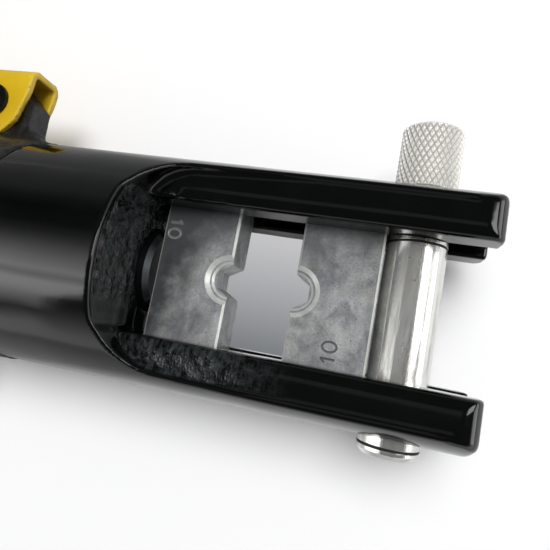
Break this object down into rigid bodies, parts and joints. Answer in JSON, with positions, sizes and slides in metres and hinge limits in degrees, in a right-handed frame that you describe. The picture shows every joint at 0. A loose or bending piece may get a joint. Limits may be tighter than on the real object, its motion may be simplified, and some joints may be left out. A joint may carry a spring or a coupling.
{
  "type": "hydraulic cable lug crimping tool",
  "caption": "Hand hydraulic crimper for cable lugs: forked head with hexagon dies and a lock pin, pump body with a lever handle, and an oil tube that is the fixed handle.",
  "frame": {"origin": "crimp centre: middle of the fixed die's parting face", "axes": "+X along the tool to the tip of the fork, +Y towards the pump handle, +Z out of the open face of the fork; the tool lies on its side"},
  "size_m": [0.373, 0.1034, 0.0506],
  "materials": {
    "black_gloss_paint": "gloss stove enamel over a rough casting",
    "black_casting": "thin matt black paint over a rough casting",
    "zinc_steel": "blue-grey zinc plate over ground steel",
    "chrome_pin": "polished hard chrome",
    "knurled_steel": "satin nickel over a diamond knurl",
    "ground_steel": "ground bright steel",
    "spring_steel": "drawn spring wire",
    "dark_steel": "black oxide",
    "yellow_paint": "gloss yellow paint",
    "black_paint": "satin black paint",
    "black_rubber": "moulded rubber",
    "seal_rubber": "nitrile",
    "seal_plastic": "white fluoropolymer",
    "brass": "turned brass",
    "magnet": "nickel plate"
  },
  "bodies": {
    "frame": {"head_body": "black_gloss_paint", "fixed_die": "zinc_steel", "rod_wiper": "seal_rubber", "head_seal": "seal_rubber", "return_spring": "spring_steel", "pump_body": "black_casting", "lock_grub_screw": "dark_steel", "discharge_poppet": "ground_steel", "discharge_spring": "spring_steel", "discharge_plug": "brass", "suction_poppet": "ground_steel", "suction_plug": "dark_steel", "relief_poppet": "ground_steel", "relief_spring": "spring_steel", "relief_screw": "dark_steel", "release_seal": "seal_rubber", "gland_nut": "brass", "gland_seal": "seal_rubber", "pivot_pin": "ground_steel", "pivot_clips": "dark_steel", "reservoir_tube": "black_paint", "oil_bladder": "seal_rubber", "bladder_clamp": "spring_steel", "oil_strainer": "brass", "end_cap": "black_paint", "filler_plug": "dark_steel", "fixed_grip": "black_rubber"},
    "ram": {"ram": "ground_steel", "die_magnet": "magnet", "piston_seal": "seal_rubber", "backup_ring": "seal_plastic", "moving_die": "zinc_steel"},
    "lock_pin": {"lock_pin": "chrome_pin", "lock_pin_knob": "knurled_steel", "lock_pin_rings": "seal_rubber"},
    "handle": {"handle_channel": "yellow_paint", "handle_tube": "yellow_paint", "handle_rivets": "ground_steel", "handle_grip": "black_rubber", "handle_end_plug": "black_rubber"},
    "plunger": {"pump_plunger": "ground_steel", "link_pin": "ground_steel", "link_clips": "dark_steel"},
    "release_valve": {"release_stem": "ground_steel", "release_knob": "knurled_steel"}
  },
  "joints": [
    {"name": "ram_slide", "type": "slide", "parent": "frame", "child": "ram", "axis": [1, 0, 0], "range_m": [0, 0.0134], "stiffness_N_per_m": 1200, "springref_m": -0.012, "deforming": ["return_spring"]},
    {"name": "lock_pin_slide", "type": "slide", "parent": "frame", "child": "lock_pin", "axis": [0, 1, 0], "range_m": [0, 0.056]},
    {"name": "handle_hinge", "type": "hinge", "parent": "frame", "child": "handle", "pos_m": [-0.0812, 0.0342, 0], "axis": [0, 0, -1], "range_deg": [0, 40]},
    {"name": "plunger_slide", "type": "slide", "parent": "frame", "child": "plunger", "axis": [0, 1, 0], "range_m": [0, 0.0157]},
    {"name": "release_turn", "type": "hinge", "parent": "frame", "child": "release_valve", "pos_m": [-0.0935, -0.033, 0], "axis": [0, -1, 0], "range_deg": [0, 180]}
  ],
  "couplings": [
    {"joint": "plunger_slide", "follows": "handle_hinge", "m_per_rad": 0.022417}
  ]
}
